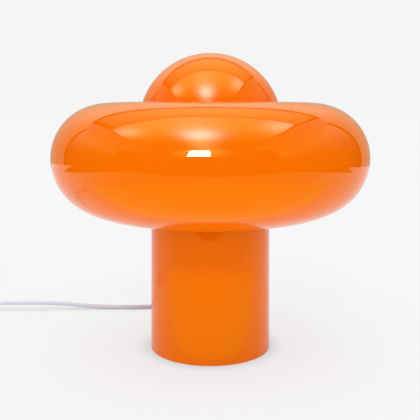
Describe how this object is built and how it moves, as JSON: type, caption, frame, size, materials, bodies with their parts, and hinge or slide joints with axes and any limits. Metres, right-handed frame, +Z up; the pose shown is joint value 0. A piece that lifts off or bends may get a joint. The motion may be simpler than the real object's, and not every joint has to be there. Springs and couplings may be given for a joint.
{
  "type": "table lamp",
  "caption": "Mushroom table lamp: lacquered drum column, fat ring shade with a lift-off dome, bulb and holder inside, white mains lead with inline rocker switch, spare lead coiled.",
  "frame": {"origin": "on the floor under the middle of the column", "axes": "+Z up along the column; the front faces -Y and the lead leaves the column at the back, +Y, and runs to the left, -X"},
  "size_m": [0.7087, 0.4074, 0.3806],
  "materials": {
    "orange_lacquer": "high-gloss orange stove lacquer on spun metal",
    "seat_lacquer": "orange lacquer on a welded ring",
    "iron": "black stoved cast iron",
    "zinc": "bright zinc plating",
    "foam": "matt black foam rubber",
    "pad_rubber": "matt black rubber",
    "phenolic": "moulded black phenolic",
    "brass": "stamped brass",
    "cap_metal": "drawn aluminium",
    "opal_glass": "opal white blown glass",
    "cord_jacket": "smooth white flexible jacket",
    "core_jacket": "thin coloured core insulation",
    "switch_plastic": "moulded white plastic"
  },
  "bodies": {
    "base": {"column_shell": "orange_lacquer", "weight_brackets": "zinc", "base_weight": "iron", "weight_screws": "zinc", "foot_pad": "foam", "carrier_leg_1": "zinc", "carrier_leg_2": "zinc", "carrier_leg_3": "zinc", "leg_nuts": "zinc", "carrier_ring": "zinc", "carrier_pads": "pad_rubber", "nipple": "zinc", "deck_washers": "zinc", "deck_nuts": "zinc", "holder_cap": "phenolic", "holder_insulator": "phenolic", "terminal_screws": "zinc", "screw_shell": "brass", "centre_contact": "brass", "holder_body": "phenolic", "lead_wires": "core_jacket", "cord_bushing": "cord_jacket", "bushing_nut": "switch_plastic", "cord_inner": "cord_jacket", "cord_free": "cord_jacket", "cord_coil": "cord_jacket", "switch_base": "switch_plastic", "switch_cover": "switch_plastic", "switch_screws": "zinc", "switch_terminals": "brass", "plug_body": "cord_jacket", "plug_blades": "brass"},
    "shade": {"shade_upper": "orange_lacquer", "shade_lower": "orange_lacquer", "seat_ring": "seat_lacquer"},
    "dome": {"dome_cap": "orange_lacquer", "dome_tabs": "seat_lacquer"},
    "bulb": {"bulb_glass": "opal_glass", "bulb_cap": "cap_metal", "bulb_insulator": "phenolic", "bulb_contact": "brass"},
    "rocker": {"switch_rocker": "switch_plastic"}
  },
  "joints": [
    {"name": "shade_lift", "type": "slide", "parent": "base", "child": "shade", "axis": [0, 0, 1], "range_m": [0, 0.165]},
    {"name": "dome_lift", "type": "slide", "parent": "shade", "child": "dome", "axis": [0, 0, 1], "range_m": [0, 0.06]},
    {"name": "bulb_withdraw", "type": "slide", "parent": "base", "child": "bulb", "axis": [0, 0, 1], "range_m": [0, 0.026]},
    {"name": "switch_rock", "type": "hinge", "parent": "base", "child": "rocker", "pos_m": [-0.376, 0.155, 0.015], "axis": [0, -1, 0], "range_deg": [0, 20]}
  ]
}
